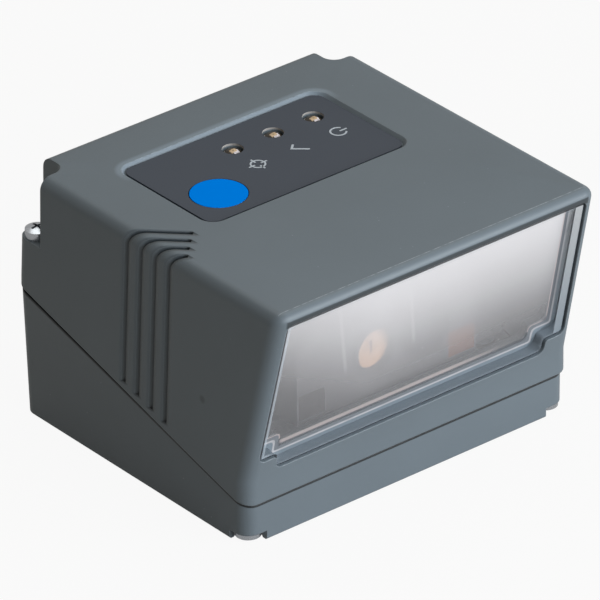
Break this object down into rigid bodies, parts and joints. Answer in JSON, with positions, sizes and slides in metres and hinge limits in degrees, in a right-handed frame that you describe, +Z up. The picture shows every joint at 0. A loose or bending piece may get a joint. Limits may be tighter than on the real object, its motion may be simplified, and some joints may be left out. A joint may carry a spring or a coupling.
{
  "type": "barcode scanner",
  "caption": "Compact fixed-mount barcode scanner: a grey two-part moulded case with a leaning clear window, a blue trigger key and status lights on the top panel.",
  "frame": {"origin": "on the standing surface, under the middle of the case's bounding box", "axes": "+Z up, X across the case, -Y towards the window, +Y towards the cord inlet"},
  "size_m": [0.0474, 0.0466, 0.0314],
  "materials": {
    "shell": "fine matt grey moulding",
    "overlay": "smooth dark grey film",
    "blue_key": "smooth bright blue",
    "seal_rubber": "smooth black",
    "bond_grey": "grey adhesive",
    "screw_steel": "bright plated",
    "clear_window": "clear, polished",
    "light_guide": "translucent white",
    "lens_glass": "clear, coated",
    "black_plastic": "matt black",
    "black_metal": "black anodised",
    "board_green": "green solder mask",
    "chip_black": "matt black",
    "ribbon_amber": "amber film",
    "amber_disc": "pale amber",
    "lamp_amber": "amber emitter",
    "capacitor_metal": "bright can",
    "connector_plastic": "ivory",
    "insert_brass": "knurled brass"
  },
  "bodies": {
    "case": {"base_shell": "shell", "top_cover": "shell", "case_seal": "seal_rubber", "rear_screws": "screw_steel", "front_screws": "screw_steel", "window": "clear_window", "window_bond": "bond_grey", "panel_overlay": "overlay", "switch_body": "screw_steel", "status_light_left": "light_guide", "status_light_middle": "light_guide", "status_light_right": "light_guide", "panel_board": "board_green", "panel_board_screws": "screw_steel", "panel_flex": "ribbon_amber", "engine_frame": "black_metal", "camera_barrel": "black_plastic", "camera_front_lens": "lens_glass", "camera_rear_lens": "lens_glass", "image_sensor": "chip_black", "sensor_board": "board_green", "aimer_barrel": "black_plastic", "aimer_disc": "amber_disc", "aimer_emitter": "screw_steel", "lamp_lens_left": "lens_glass", "lamp_lens_right": "lens_glass", "lamp_left": "lamp_amber", "lamp_right": "lamp_amber", "engine_bracket": "screw_steel", "engine_screws": "screw_steel", "bracket_screws": "screw_steel", "engine_flex": "ribbon_amber", "main_board": "board_green", "main_board_screws": "screw_steel", "processor": "chip_black", "memory_chip": "chip_black", "power_coil": "chip_black", "capacitors": "capacitor_metal", "beeper": "black_plastic", "cord_header": "connector_plastic", "engine_flex_socket": "connector_plastic", "panel_flex_socket": "connector_plastic", "cord_grommet": "seal_rubber", "mounting_inserts": "insert_brass"},
    "key": {"trigger_key": "blue_key", "switch_plunger": "black_plastic"}
  },
  "joints": [
    {"name": "key_press", "type": "slide", "parent": "case", "child": "key", "axis": [0, 0, -1], "range_m": [0, 0.00025], "stiffness_N_per_m": 400}
  ]
}
